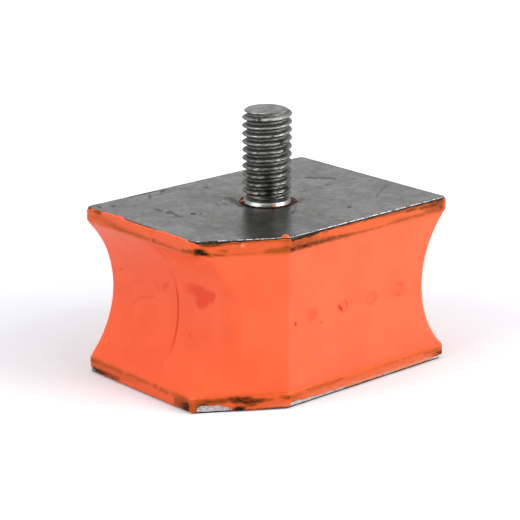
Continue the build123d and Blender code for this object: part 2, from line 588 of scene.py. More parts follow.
# broad soft patches of painted shade on the top plate's face
plateShades = (
    ((-17.2, -5.8), (-13.2, -9.0), 2.0, 0.48), ((-14.0, -5.0), (-9.5, -7.5), 1.8, 0.28),
    ((-4.2, -12.6), (-3.0, -15.8), 2.2, 0.5), ((-1.0, -9.5), (0.8, -12.0), 1.6, 0.2),
    ((-6.8, 6.6), (-4.8, 3.6), 1.6, 0.4), ((-7.6, 9.6), (-6.2, 10.8), 1.2, 0.4),
    ((-16.0, 2.6), (-17.0, -0.6), 1.2, 0.25), ((-8.2, 15.0), (-5.8, 15.6), 0.8, 0.4),
    ((-2.6, 5.2), (-1.6, 5.6), 0.9, 0.5), ((10.5, 10.5), (17.0, 9.0), 2.2, 0.14),
)
plateMarks = (
    ((-13.9, 2.1), (-13.6, 2.5), 0.34, 1.6),
    ((-12.7, 1.45), (-12.5, 1.7), 0.2, 1.1),
    ((-20.4, 14.1), (-20.1, 14.4), 0.3, 1.2),
    ((-16.4, 8.3), (-16.2, 7.8), 0.35, 1.0),
    ((-16.9, 7.4), (-16.4, 7.0), 0.3, 0.7),
    ((-15.9, 5.9), (-16.1, 2.3), 0.34, 0.75),
    ((-16.3, 5.0), (-15.7, 5.9), 0.5, 0.7),
    ((-14.6, 3.6), (-13.8, 5.4), 0.8, 0.25),
    ((-22.2, 15.4), (-22.6, 14.8), 0.4, 0.7),
    ((-23.0, 16.6), (-21.6, 16.7), 0.25, 0.8),
    ((-17.2, 15.6), (-16.5, 15.0), 0.35, 0.4),
    ((-18.2, 13.9), (-17.4, 12.2), 0.3, 0.3),
    ((-11.5, 15.8), (-12.6, 14.4), 0.3, 0.5), ((-12.6, 14.6), (-12.9, 14.0), 0.3, 0.7),
    ((-8.3, 16.4), (-9.2, 15.6), 0.34, 0.75), ((-9.0, 15.8), (-10.4, 14.4), 0.4, 0.4),
    ((-7.2, 16.0), (-8.6, 16.2), 0.35, 0.55),
    ((-14.8, 16.8), (-9.0, 16.8), 0.28, 1.1),
    ((-8.8, 16.75), (-2.0, 16.75), 0.2, 0.5),
    ((-1.7, 12.9), (-2.2, 12.6), 0.35, 0.8),
    ((-5.4, 11.0), (-6.0, 10.6), 0.8, 0.2),
    ((-3.4, 4.9), (-4.2, 2.6), 0.75, 0.75),
    ((-3.3, 6.2), (-4.0, 5.2), 0.6, 0.55),
    ((-4.6, 7.4), (-3.9, 6.6), 0.7, 0.4),
    ((-5.6, 3.9), (-6.4, 2.6), 0.35, 0.5),
    ((-6.8, 4.6), (-7.6, 3.2), 0.25, 0.4),
    ((-4.6, 2.2), (-5.0, 0.6), 0.5, 0.85),
    ((-8.2, 5.6), (-10.0, 3.4), 0.5, 0.2),
    ((3.4, -4.0), (5.2, -2.6), 0.6, 0.5),
    ((5.6, -3.6), (6.2, -2.8), 0.5, 0.35),
    ((-4.6, -1.6), (1.6, -5.0), 0.45, 0.55),
    ((12.4, 8.2), (14.6, 6.2), 0.5, 0.3),
    ((14.6, 6.2), (16.4, 4.4), 0.75, 0.62),
    ((16.2, 4.6), (17.8, 2.8), 0.5, 0.62),
    ((7.0, 0.6), (23.4, 0.2), 0.22, 0.38),
    ((7.8, 0.7), (8.3, 0.5), 0.35, 0.6),
    ((11.4, 0.35), (12.0, 0.3), 0.3, 0.55),
    ((14.0, 0.7), (14.4, 0.3), 0.3, 0.6),
    ((-22.0, 0.5), (-8.0, 0.3), 0.3, 0.14),
    ((7.0, -11.7), (7.7, -11.2), 0.26, 0.95),
    ((8.2, -6.5), (8.6, -5.9), 0.7, 0.3),
    ((21.2, -6.2), (18.2, -7.8), 0.24, 0.45),
    ((18.2, -7.8), (15.8, -9.2), 0.24, 0.45),
    ((15.8, -9.2), (13.2, -11.8), 0.24, 0.35),
    ((13.2, -11.8), (12.8, -13.6), 0.24, 0.3),
    ((20.8, -6.4), (21.1, -6.2), 0.34, 0.5),
    ((15.8, -9.3), (16.1, -9.1), 0.3, 0.5),
    ((19.8, 13.6), (20.4, 13.3), 0.5, 0.25),
    ((-1.9, -8.2), (-0.6, -7.0), 0.3, 0.7),
    ((-0.5, -7.4), (1.3, -5.2), 0.24, 0.5),
    ((0.6, -12.2), (2.2, -8.5), 0.4, 0.25),
    ((1.0, -15.4), (1.5, -13.0), 0.5, 0.3),
    ((-3.0, -16.6), (-1.2, -16.2), 0.4, 0.4),
    ((-7.5, -8.3), (-4.0, -8.8), 0.5, 0.2),
    ((22.9, 15.2), (23.1, -16.0), 0.25, 0.25),
)


def plateSteel():
    r = Recipe(bpy.data.materials.new("plate_steel"))
    cloudy = r.speckle(8.0, 4.0)
    mottled = r.speckle(1.2, 5.0, rough=0.65)
    blotched = r.speckle(3.2, 4.0, shift=(4, 4, 1), rough=0.6)
    scratches = r.speckle(0.9, 3.0, stretch=(0.05, 1.6, 1))
    crossed = r.speckle(0.9, 3.0, stretch=(1.5, 0.08, 1), shift=(5, 2, 0))
    x, z = r.axis("X"), r.axis("Z")
    # pale specks scattered over the left part
    flecks = r.rise(r.speckle(0.55, 2.0, shift=(1, 4, 0)), 0.58, 0.68)
    patches = r.rise(r.speckle(4.0, 2.0, shift=(8, 2, 0)), 0.45, 0.6)
    flecks = flecks * (patches + r.fall(x, -22.0, -19.0) * 0.7)
    shaded = r.marks("XY", plateShades, 0.9, r.bent(3.0, 2.0))
    pits = r.rise(r.speckle(0.6, 2.0, shift=(7, 1, 3)), 0.74, 0.80)
    # scuffs and marks on the top plate's face
    onFace = r.rise(z, block["height"] - 0.5, block["height"] - 0.2)
    ragged = r.speckle(0.5, 4.0, shift=(2, 2, 2))
    bent = r.bent(0.9, 1.1)
    marked = r.marks("XY", plateMarks, 0.7, bent)
    marked = r.rise(marked + (ragged - 0.5) * 0.5 - 0.04, 0.0, 1.0) * onFace
    # sheared edges: bare metal where they show, a painted glint on the top plate's burr, and black behind
    # it, partly crust and partly painted shadow under the skin and along the floor
    edge = r.attribute("edge")
    bright, black, paintedGlint = r.rise(edge, 0.2, 0.7), r.fall(edge, -0.7, -0.2), r.rise(edge, 0.95, 1.2)
    bare = r.colour(r.rise(r.speckle(0.22, 3.0), 0.42, 0.58), steel["grey"], steel["bright"])
    crustAndPaintedShadow = r.colour(r.rise(mottled, 0.45, 0.62), steel["black"], steel["rusty"])
    base = r.colour(r.rise(cloudy, 0.35, 0.68), steel["face"], steel["faceDark"])
    base = r.coats(base, steel, (
        (r.rise(mottled, 0.5, 0.66) * 0.8, "faceDark"),
        (r.fall(mottled, 0.38, 0.5) * 0.3, "pale"),
        (r.rise(blotched, 0.5, 0.6) * 0.6, "faceDark"),
        (r.fall(blotched, 0.4, 0.5) * 0.2, "pale"),
        (r.rise(scratches, 0.64, 0.78) * 0.3, "pale"),
        (flecks.least(1.0) * r.fall(x, -12.0, 2.0) * 0.8, "pale"),
        # painted shade over broad soft patches
        (shaded * (0.7 + 0.6 * mottled), "dim"),
        (pits * 0.6, "dirt"),
        (r.marks("XY", plateScuffs, 0.9, bent) * onFace, "pale"),
        (marked, "dirt"),
    ))
    base = r.colour(bright, base, bare)
    # painted glint where the edge's paint goes above one
    base = r.colour(paintedGlint, base, steel["paintedGlint"])
    gloss = steel["roughness"] + (mottled - 0.5) * 0.16 + (crossed - 0.5) * 0.06
    normal = r.bump(crossed, 0.002, r.bump(scratches, 0.003))
    return r.surface({
        "Base Color": r.colour(black, base, crustAndPaintedShadow),
        "Roughness": gloss + marked * 0.25 + (bright + black) * 0.3,
        "Metallic": 0.82 - bright * 0.3 - paintedGlint * 0.3,
        "Normal": r.bump(r.speckle(3.0, 3.0), 0.015, normal),
    })


stud = {
    "radius": 4.0,
    "rootRadius": 3.23,
    "pitch": 1.33,
    "phase": 0.657,
    "collar": 0.68,
    "collarTop": 3.74,
    "runout": 0.4,
    "tipSlope": 0.55,
    "tipRadius": 3.42,
    "headRadius": (studHigh.x - studLow.x) / 2,
    "headChamfer": 0.6,
    "bevel": 0.02,
    # the dished end face: radii, each with how far it lies below the tip
    "endFace": ((3.0, 0.01), (2.4, 0.07), (1.2, 0.09), (0.3, 0.09)),
    "around": 144,
    "rowStep": 0.08,
    # shares of the pitch that are flat at the crest and the root, and the flank's curve
    "crestFlat": 0.06,
    "rootFlat": 0.09,
    "flankCurve": 0.05,
    # the seam along a crest: shares of the thread's depth and of its pitch, and the heights
    # between which it dies out
    "seam": (0.1, 0.045),
    "seamEnd": (36.5, 39.5),
}
screwSteel = {
    "crest": (0.265, 0.26, 0.256),
    "lowCrest": (0.21, 0.207, 0.20),
    "root": (0.15, 0.147, 0.137),
    "tip": (0.33, 0.32, 0.325),
    "collar": (0.27, 0.27, 0.265),
    # colours of the painted shade on the thread, and of grime that also paints shade on the side facing the
    # camera
    "shade": (0.035, 0.034, 0.031),
    "grimeAndShade": (0.012, 0.011, 0.009),
    "edge": (0.55, 0.55, 0.54),
    "roughness": 0.34,
}
# patches of painted shade on the thread, most on the side that faces the camera, and patches of grime,
# those near -127 degrees also painted shade: degrees round the axis, height, half width, strength
studShade = (
    (-127, 29.8, 1.0, 0.7), (-126, 31.3, 0.95, 0.66), (-128, 32.7, 0.9, 0.6), (-130, 34.1, 0.9, 0.4),
    (-76, 30.5, 0.9, 0.6), (-72, 33.0, 1.0, 0.5), (-82, 36.8, 0.9, 0.6), (-95, 38.4, 0.9, 0.6),
    (-175, 36.0, 1.2, 0.35), (-170, 32.0, 1.2, 0.35), (-160, 42.3, 0.9, 0.5), (-110, 40.6, 0.8, 0.35),
    (-150, 35.2, 0.7, 0.35),
)
studGrimeAndShade = (
    (-95, 38.4, 0.5, 0.55), (-86, 37.1, 0.4, 0.55), (-79, 36.8, 0.35, 0.5), (-130, 33.4, 0.7, 0.45),
    (-126, 32.0, 0.8, 0.5), (-128, 30.6, 0.9, 0.55), (-150, 42.4, 0.4, 0.6), (-164, 42.2, 0.4, 0.5),
    (-74, 31.0, 0.7, 0.5), (-70, 33.8, 0.5, 0.45),
    (-118, 39.8, 0.4, 0.5), (-104, 31.0, 0.5, 0.6),
)


def onThread(spots):
    # marks at places round the stud's outside
    marks = []
    for turn, level, half, strength in spots:
        x, y = (stud["radius"] * rule(math.radians(turn)) for rule in (math.cos, math.sin))
        marks.append(((x, y, level), (x, y, level), half, strength))
    return marks


def studSteel():
    r = Recipe(bpy.data.materials.new("stud_steel"))
    x, y, z = r.axis("X"), r.axis("Y"), r.axis("Z")
    radius = (x * x + y * y) ** 0.5
    mottled = r.speckle(0.7, 4.0, rough=0.6)
    streaked = r.speckle(0.5, 3.0, stretch=(1, 1, 4))
    deep = r.fall(radius + (mottled - 0.5) * 0.35, 3.35, 3.98)
    # painted shade, and grime that partly paints shade as well
    shaded = (r.marks("XYZ", onThread(studShade)) * (0.5 + mottled)).least(0.92)
    grimeAndShadeShare = r.rise(r.marks("XYZ", onThread(studGrimeAndShade)) + (streaked - 0.5) * 0.8, 0.25, 0.7)
    collarEnd = block["height"] + stud["collar"]
    collar = r.fall(z, collarEnd - 0.02, collarEnd + 0.04)
    blotched = r.rise(r.speckle(1.6, 4.0, rough=0.65), 0.4, 0.62)
    tipTone = r.colour(blotched, screwSteel["tip"], screwSteel["lowCrest"])
    lower = r.fall(z + mottled * 2, 36.0, 41.0)
    base = r.colour(lower, screwSteel["crest"], screwSteel["lowCrest"])
    base = r.coats(base, screwSteel, (
        (deep, "root"),
        (r.rise(mottled, 0.5, 0.75) * 0.6, "root"),
    ))
    base = r.colour(r.rise(z, studHigh.z - 0.2, studHigh.z - 0.11), base, tipTone)
    base = r.coats(base, screwSteel, (
        (shaded, "shade"),
        (grimeAndShadeShare, "grimeAndShade"),
        (collar * (0.75 + 0.5 * mottled).least(1.0), "collar"),
    ))
    return r.surface({
        "Base Color": base,
        "Roughness": screwSteel["roughness"] + (mottled - 0.5) * 0.2 + deep * 0.1 - collar * 0.04,
        "Metallic": 1.0,
        "Normal": r.bump(streaked, 0.01, r.bump(r.speckle(0.3, 3.0), 0.015)),
        "Specular Tint": (*screwSteel["edge"], 1),
    })


turnedSteel = {"light": (0.30, 0.29, 0.28), "dark": (0.18, 0.175, 0.17), "roughness": 0.32}


def bushSteel():
    r = Recipe(bpy.data.materials.new("bush_steel"))
    mottled = r.speckle(1.2, 4.0)
    return r.surface({
        "Base Color": r.colour(r.rise(mottled, 0.4, 0.7), turnedSteel["light"], turnedSteel["dark"]),
        "Roughness": turnedSteel["roughness"] + (mottled - 0.5) * 0.2,
        "Metallic": 1.0,
    })


orangeMaterial = orangeElastomer()
plateMaterial = plateSteel()
studMaterial = studSteel()
bushMaterial = bushSteel()
print("materials made")


# Dirt and damage along the lips. Each stroke is a soft band: where it starts and stops along
# the side, its depth from the plate's outer face, its half width and its strength at both ends.

topStrokes = {
    "leftEnd": (
        (0.0, 6.0, 1.2, 1.3, 1.1, 1.0, 0.34, 0.36),
        (0.5, 3.2, 0.2, 0.2, 0.36, 0.3, 0.42, 0.6),
        (2.0, 8.4, 0.66, 0.8, 0.34, 0.28, 0.5, 0.36),
        (2.4, 5.6, 0.08, 0.2, 0.36, 0.32, 1.0, 0.95),
        (1.8, 9.5, 1.0, 1.35, 0.45, 0.38, 0.45, 0.58),
        (4.5, 9.5, 1.6, 1.65, 0.4, 0.35, 0.52, 0.55),
        (4.4, 7.0, 1.95, 1.95, 0.35, 0.3, 0.42, 0.45),
        (7.0, 17.5, 1.75, 1.8, 0.42, 0.34, 0.66, 0.56),
        (8.0, 16.5, 1.3, 1.4, 0.36, 0.3, 0.42, 0.28),
        (17.0, 18.6, 1.75, 1.8, 0.36, 0.34, 0.85, 0.8),
        (17.4, 23.5, 1.45, 1.5, 0.3, 0.25, 0.35, 0.2),
        (17.8, 25.5, 1.85, 1.95, 0.32, 0.28, 0.66, 0.48),
        (24.0, 26.8, 1.85, 1.6, 0.38, 0.42, 0.6, 0.75),
    ),
    "cutFace": (
        (0.0, 3.1, 1.65, 1.85, 0.6, 0.5, 1.25, 1.3),
        (0.0, 2.2, 1.5, 1.72, 0.46, 0.4, 1.75, 1.62),
        (0.8, 3.2, 1.75, 2.1, 0.28, 0.24, 1.95, 1.85),
        (1.5, 3.6, 1.95, 2.15, 0.4, 0.28, 1.5, 1.05),
        (2.8, 5.8, 2.2, 2.3, 0.24, 0.22, 0.9, 0.68),
        (4.3, 5.9, 1.5, 1.8, 0.36, 0.36, 0.7, 0.7),
        (5.0, 12.0, 2.25, 2.25, 0.26, 0.26, 0.52, 0.46),
        (11.0, 15.6, 2.15, 1.75, 0.4, 0.8, 0.65, 0.85),
        (12.6, 15.6, 1.0, 1.0, 0.5, 0.65, 0.35, 0.66),
        (12.5, 15.6, 0.45, 0.45, 0.3, 0.3, 0.55, 0.62),
        (0.6, 5.8, 0.58, 0.62, 0.26, 0.22, 1.2, 0.95),
        (2.5, 4.2, 0.75, 0.75, 0.32, 0.26, 0.85, 0.75),
        (4.0, 14.4, 0.42, 0.32, 0.26, 0.26, 0.84, 0.6),
        (14.0, 15.6, 0.5, 0.5, 0.5, 0.5, 0.7, 0.7),
    ),
    "longSide": (
        (0.0, 6.8, 1.15, 1.15, 0.8, 0.65, 0.86, 0.68),
        (0.0, 7.6, 1.95, 1.92, 0.5, 0.5, 1.15, 1.05),
        (0.0, 1.4, 1.9, 1.95, 0.36, 0.36, 1.5, 1.3),
        (2.3, 4.0, 1.85, 1.85, 0.42, 0.36, 1.35, 1.3),
        (0.0, 6.6, 0.5, 0.5, 0.2, 0.17, 1.6, 1.3),
        (5.6, 33.0, 0.42, 0.38, 0.15, 0.15, 0.95, 0.95),
        (4.8, 10.8, 1.9, 1.95, 0.52, 0.44, 1.14, 1.0),
        (5.5, 9.8, 1.4, 1.6, 0.42, 0.32, 0.78, 0.66),
        (5.8, 9.0, 0.75, 0.9, 0.42, 0.36, 0.72, 0.45),
        (9.5, 15.0, 1.98, 2.1, 0.44, 0.34, 0.96, 0.74),
        (13.5, 21.2, 2.12, 2.22, 0.32, 0.24, 0.76, 0.62),
        (20.2, 22.8, 2.15, 1.75, 0.32, 0.36, 0.64, 0.72),
        (21.4, 30.5, 1.95, 1.98, 0.44, 0.44, 0.76, 0.72),
        (21.4, 25.0, 1.55, 1.55, 0.36, 0.3, 0.6, 0.52),
        (28.5, 34.9, 1.8, 1.6, 0.6, 0.85, 0.68, 0.95),
        (18.6, 26.5, 0.62, 0.66, 0.24, 0.26, 0.62, 0.8),
        (25.0, 28.6, 0.66, 0.7, 0.3, 0.3, 1.1, 0.95),
        (27.6, 33.2, 0.82, 0.95, 0.36, 0.42, 0.9, 1.25),
        (28.8, 33.8, 0.42, 0.42, 0.22, 0.24, 1.0, 1.3),
        (31.0, 34.9, 0.52, 0.5, 0.34, 0.36, 1.1, 1.1),
        (30.8, 34.9, 0.95, 1.05, 0.6, 0.7, 0.9, 0.95),
        (32.2, 34.4, 1.1, 1.7, 0.4, 0.36, 1.25, 1.15),
    ),
    "rightEnd": (
        (0.0, 4.0, 0.6, 0.7, 0.6, 0.4, 1.3, 0.6),
        (0.5, 4.0, 1.3, 1.6, 0.6, 0.4, 0.8, 0.6),
        (3.0, 20.0, 1.8, 1.9, 0.3, 0.2, 0.6, 0.4),
        (18.0, 35.0, 1.9, 1.7, 0.2, 0.35, 0.4, 0.7),
    ),
    "back": (
        (0.0, 17.0, 1.8, 1.9, 0.35, 0.2, 0.7, 0.4),
        (15.0, 33.0, 1.9, 1.8, 0.2, 0.3, 0.3, 0.6),
        (32.0, 48.0, 1.8, 1.7, 0.3, 0.4, 0.6, 0.7),
        (10.0, 24.0, 0.3, 0.3, 0.2, 0.2, 0.8, 0.5),
    ),
}
bottomStrokes = {
    "leftEnd": (
        (0.3, 10.5, 2.25, 2.25, 0.52, 0.42, 0.62, 0.52),
        (9.5, 17.0, 2.3, 2.2, 0.42, 0.36, 0.54, 0.5),
        (8.6, 14.0, 1.5, 1.6, 0.7, 0.5, 0.36, 0.3),
        (16.2, 18.8, 2.2, 2.15, 0.42, 0.4, 0.66, 0.62),
        (18.0, 21.8, 2.05, 1.95, 0.42, 0.4, 0.62, 0.52),
        (20.6, 26.0, 2.15, 2.0, 0.5, 0.62, 0.36, 0.8),
        (0.6, 10.5, 1.55, 1.55, 0.6, 0.5, 0.42, 0.3),
        (0.7, 9.6, 0.98, 0.95, 0.38, 0.3, 1.14, 0.6),
        (1.2, 6.2, 0.72, 0.68, 0.22, 0.2, 1.7, 1.4),
        (5.2, 9.0, 0.68, 0.62, 0.2, 0.16, 1.25, 0.8),
        (0.0, 26.7, 0.25, 0.25, 0.18, 0.18, 0.5, 0.5),
        (21.6, 26.6, 1.05, 1.2, 0.9, 1.2, 0.56, 1.25),
        (25.5, 26.9, 1.2, 1.2, 1.4, 1.4, 0.5, 0.62),
        (24.1, 26.5, 0.8, 1.3, 0.7, 0.95, 1.3, 1.6),
    ),
    "cutFace": (
        (0.0, 0.9, 1.2, 1.2, 1.3, 1.3, 1.0, 0.8),
        (0.3, 6.2, 1.95, 2.0, 0.58, 0.5, 0.92, 0.95),
        (0.4, 3.4, 1.5, 1.42, 0.24, 0.24, 1.7, 1.4),
        (2.8, 5.2, 1.3, 1.2, 0.16, 0.16, 1.2, 1.2),
        (4.6, 10.4, 2.25, 2.2, 0.36, 0.36, 1.15, 1.2),
        (5.4, 8.8, 2.0, 1.8, 0.46, 0.5, 1.1, 1.35),
        (7.0, 12.4, 1.7, 1.65, 0.55, 0.46, 1.3, 1.12),
        (7.2, 11.4, 1.25, 1.28, 0.45, 0.42, 1.0, 0.85),
        (7.4, 10.8, 0.95, 0.95, 0.3, 0.3, 0.6, 0.62),
        (10.8, 13.6, 1.8, 1.85, 0.42, 0.36, 0.9, 0.6),
        (12.8, 15.6, 2.1, 1.95, 0.34, 0.42, 0.6, 0.95),
        (6.2, 8.6, 0.5, 0.52, 0.38, 0.4, 1.7, 1.6),
        (7.8, 15.6, 0.3, 0.3, 0.16, 0.2, 0.9, 0.95),
        (6.0, 15.6, 1.3, 1.3, 1.4, 1.4, 0.42, 0.42),
        (8.6, 12.2, 1.3, 1.35, 0.3, 0.3, 0.8, 0.7),
    ),
    "longSide": (
        (0.0, 35.2, 1.5, 1.5, 1.5, 1.5, 0.44, 0.44),
        (0.0, 3.8, 1.7, 2.0, 0.6, 0.5, 0.68, 0.58),
        (2.4, 12.8, 2.2, 2.15, 0.5, 0.5, 0.62, 0.62),
        (2.0, 12.0, 1.7, 1.7, 0.4, 0.4, 0.5, 0.5),
        (11.6, 17.8, 1.75, 1.85, 0.36, 0.34, 0.55, 0.46),
        (16.8, 21.0, 2.0, 2.1, 0.36, 0.36, 0.44, 0.5),
        (19.6, 25.4, 2.1, 2.1, 0.46, 0.44, 0.54, 0.56),
        (24.3, 30.8, 2.25, 2.15, 0.36, 0.36, 0.5, 0.54),
        (28.8, 35.2, 2.0, 1.65, 0.46, 0.6, 0.54, 0.72),
        (30.8, 35.2, 1.1, 0.95, 0.55, 0.6, 0.5, 0.95),
        (32.6, 35.2, 1.45, 1.2, 0.32, 0.32, 1.0, 1.25),
        (0.0, 3.6, 1.1, 1.0, 0.35, 0.3, 0.7, 0.62),
    ),
    "rightEnd": (
        (0.0, 16.0, 2.1, 2.2, 0.4, 0.25, 0.6, 0.4),
        (14.0, 35.0, 2.2, 2.1, 0.25, 0.3, 0.4, 0.7),
    ),
    "back": (
        (0.0, 26.0, 2.2, 2.2, 0.25, 0.2, 0.5, 0.35),
        (24.0, 48.0, 2.2, 2.2, 0.25, 0.3, 0.5, 0.8),
    ),
}
# where the lips are paler than the rest: painted highlights, a pale band along the rounded bottom rim of
# the long side and the cut face where it faces the bright floor, and a small pale patch on the bead on the
# cut face
topPaintedHighlight = {"cutFace": ((6.9, 8.5, 0.9, 0.9, 0.3, 0.3, 0.45, 0.45),)}
bottomPaintedHighlight = {
    "longSide": (
        (1.4, 33.6, 0.72, 0.76, 0.26, 0.26, 0.9, 0.82),
        (2.6, 32.0, 1.3, 1.3, 0.42, 0.42, 0.2, 0.2),
    ),
    "cutFace": ((11.5, 15.6, 0.75, 0.75, 0.3, 0.3, 0.1, 0.35),),
}
# how far from the plate's outer face the skin ends, along each side
topRims = {
    "leftEnd": (
        (0, 0.05), (1.5, 0.02), (5, -0.05), (6, -0.12), (8.8, -0.2), (9.4, -0.42), (10, 0.02), (12, 0.09),
        (17.5, 0.08), (18.5, -0.05), (22, -0.12), (25.5, -0.1), (26.7, 0.15),
    ),
    "cutFace": (
        (0, 0.2), (0.7, 0.42), (2.6, 0.5), (4.5, 0.46), (6, 0.36), (9, 0.32), (12, 0.24), (15.2, 0.22),
    ),
    "longSide": (
        (0, 0.35), (0.4, 0.5), (5.8, 0.48), (7, 0.36), (30, 0.34), (33, 0.32), (34.5, 0.3), (35.1, 0.3),
    ),
    "rightEnd": ((0, 0.35), (2, 0.3), (5, 0.15), (20, 0.25), (28, 0.1), (35, 0.1)),
    "back": ((0, 0.15), (12, 0.2), (20, 0.35), (25, 0.2), (48, 0.3)),
}
bottomRims = {
    "leftEnd": (
        (0, 0.7), (1.4, 0.7), (2.2, 0.45), (3.2, 0.25), (6, 0.18), (9.5, 0.13), (23, 0.13), (24, 0.25),
        (26.2, 0.5), (26.7, 0.2),
    ),
    "cutFace": (
        (0, 0.04), (0.45, 0.04), (0.7, 1.1), (1.5, 1.3), (3, 1.28), (4.5, 1.15), (5.5, 0.9), (6.1, 0.55),
        (6.5, 0.2), (6.8, 0.35), (7.2, 0.6), (7.6, 0.5), (7.9, 0.2), (9, 0.17), (15.34, 0.3),
    ),
    "longSide": (
        (0, 0.7), (0.8, 0.95), (3.3, 0.9), (5.6, 0.66), (7.7, 0.5), (8.6, 0.62), (11.5, 0.58),
        (13, 0.42), (20.5, 0.4), (21.3, 0.6), (23, 0.55), (24, 0.4), (30.5, 0.4), (32, 0.5),
        (34, 0.7), (35.1, 0.75),
    ),
    "rightEnd": ((0, 0.75), (2, 0.5), (6, 0.2), (20, 0.3), (27, 0.2), (35, 0.3)),
    "back": ((0, 0.3), (10, 0.2), (30, 0.3), (40, 0.2), (48, 0.7)),
}
# how thick the skin is over the top plate's edge: the plate is nearly flush on two sides
topSkins = {
    "longSide": ((0, 0.12), (33.5, 0.12), (35.1, 0.25)),
    "rightEnd": ((0, 0.25), (1.5, 0.4), (35, 0.4)),
    "back": ((0, 0.4), (48, 0.4)),
    "leftEnd": ((0, 0.4), (25, 0.4), (26.7, 0.3)),
    "cutFace": ((0, 0.3), (1.0, 0.16), (12.5, 0.12), (13.6, 0.3), (15, 0.3), (15.34, 0.14)),
}
# how bright the plates' sheared edges are where they show; above one is a painted glint on the burr, and
# below nought is black, partly crust and partly painted shadow
topBright = {
    "longSide": ((0, 1.3), (1.5, 0.8), (5, 0.7), (6, 1.3), (24, 1.3), (31, 1.1), (34.5, 0.9), (35.1, -0.5)),
    "cutFace": (
        (0, -1), (0.5, -1), (0.9, 0.9), (2.2, 0.8), (2.6, -1), (3.8, -1), (4.3, 1.3), (9, 1.2), (12.5, 0.9),
        (14, 0.5), (15.34, 1.2),
    ),
    "leftEnd": ((0, -1), (26.7, -1)),
    "rightEnd": ((0, 0.8), (20, 0.3), (35, 0.2)),
    "back": ((0, 0.2), (12, 0.5), (30, -0.6), (40, 0.2), (48, -1)),
}
bottomBright = {
    "longSide": (
        (0, 1), (12.3, 0.9), (12.9, -1), (20.7, -1), (21.2, 0.9), (23.5, 0.9), (24, -1), (30.6, -1),
        (31.5, 0.8), (34.6, 0.9), (35.1, 0),
    ),
    "cutFace": ((0, -1), (0.4, -1), (0.6, 1), (6.2, 1), (6.5, -1), (15.2, -1), (15.34, 0.8)),
    "leftEnd": ((0, 0.6), (2, 0.6), (2.6, -1), (26.7, -1)),
    "rightEnd": ((0, 0.5), (3, -1), (35, -1)),
    "back": ((0, -1), (26, -1), (30, 0.6), (34, -1), (48, -1)),
}
# how far the skin's rim is rounded, and how far the sides lie behind the lips
rimRounds = {
    "longSide": ((0, 0.2), (35.1, 0.22)),
    "rightEnd": ((0, 0.25), (35, 0.34)),
    "back": ((0, 0.34), (48, 0.34)),
    "leftEnd": ((0, 0.34), (20, 0.3), (26.7, 0.22)),
    "cutFace": ((0, 0.2), (15.34, 0.2)),
}
lipSteps = {
    "longSide": ((0, 0.1), (35.1, 0.12)),
    "rightEnd": ((0, 0), (35, 0)),
    "back": ((0, 0.1), (48, 0.1)),
    "leftEnd": ((0, 0.02), (26.7, 0.02)),
    "cutFace": ((0, 0.08), (15.34, 0.1)),
}


def strokeTone(strokes, sides, along, depth):
    # strokes fade out at their ends, but not where they run to the end of a side
    tone = np.zeros(len(along))
    for number, name in enumerate(sideNames):
        here = sides == number
        for start, stop, depthA, depthB, halfA, halfB, strongA, strongB in strokes.get(name, ()):
            share = np.clip((along - start) / (stop - start), 0, 1)
            fade = min(1.2, 0.35 * (stop - start))
            ends = 1.0 if start <= 0 else ease(along, start, start + fade)
            if stop < sideLengths[number]:
                ends = ends * (1 - ease(along, stop - fade, stop))
            half = halfA + (halfB - halfA) * share
            away = np.abs(depth - (depthA + (depthB - depthA) * share)) / half
            strength = (strongA + (strongB - strongA) * share) * ends * (1 - ease(away, 0.2, 1.8))
            tone = np.maximum(tone, strength * here)
    return tone


# The elastomer body

body = {
    "spacing": 0.265,
    "lowerLip": 2.55,
    "upperLip": 2.3,
    "lipRows": 22,
    "lipPast": 0.35,
    "waistDepth": 5.1,
    "waistSoftness": 0.28,
    "lipCorners": (1.2, 0.9, 1.2, 1.6, 1.2),
    "bodyCorners": (1.5, 0.8, 1.2, 1.2, 4.5),
    "arcSteps": 8,
    # a thin film of dirt over the whole lips, side by side; it runs a little past each lip, where it is
    # painted shade in the crease under the lip
    "dirtFilmAndCreaseShade": {"leftEnd": 0.14, "cutFace": 0.36, "longSide": 0.42, "rightEnd": 0.2, "back": 0.2},
    # how far from either face of the block the sides are dirty
    "dirtReach": 4,
    "rimNoise": 0.05,
    # the ridge of the parting line, on the ends beyond this x, and how uneven the casting is
    "parting": {"height": 0.035, "halfWidth": 0.2, "from": 17},
    "casting": {"grain": 5.0, "depth": 0.03, "most": 0.02},
    "pipDepth": 0.06,
    "headPocket": (7.5, 23.5),
    "barrelPocket": (6.0, 11.54),
    "flangePocket": (8.5, 3.5),
    # side, distance along it, depth, width and height of loose beads on the lips
    "beads": (("cutFace", 7.7, 0.95, 0.34, 0.3),),
}


def waistRecess(z):
    # a concave arc from lip to lip, deepest half way between them, that the lips run softly into
    chord = (block["height"] - body["lowerLip"] - body["upperLip"]) / 2
    middle = body["lowerLip"] + chord
    depth = body["waistDepth"]
    radius = (chord ** 2 + depth ** 2) / (2 * depth)
    recess = math.sqrt(radius ** 2 - (z - middle) ** 2) - (radius - depth)
    return (recess + math.hypot(recess, body["waistSoftness"])) / 2


def bodyRing(z, inset):
    fromLip = min(z - body["lowerLip"], block["height"] - body["upperLip"] - z)
    blend = float(ease(fromLip, -0.2, 0.8))
    corners = [a + (b - a) * blend for a, b in zip(body["lipCorners"], body["bodyCorners"])]
    outer, inner = (
        planRing(depth, waistRecess(z), corners, body["spacing"], body["arcSteps"], True)[0]
        for depth in (0, 1)
    )
    return outer + (inner - outer) * inset[:, None]


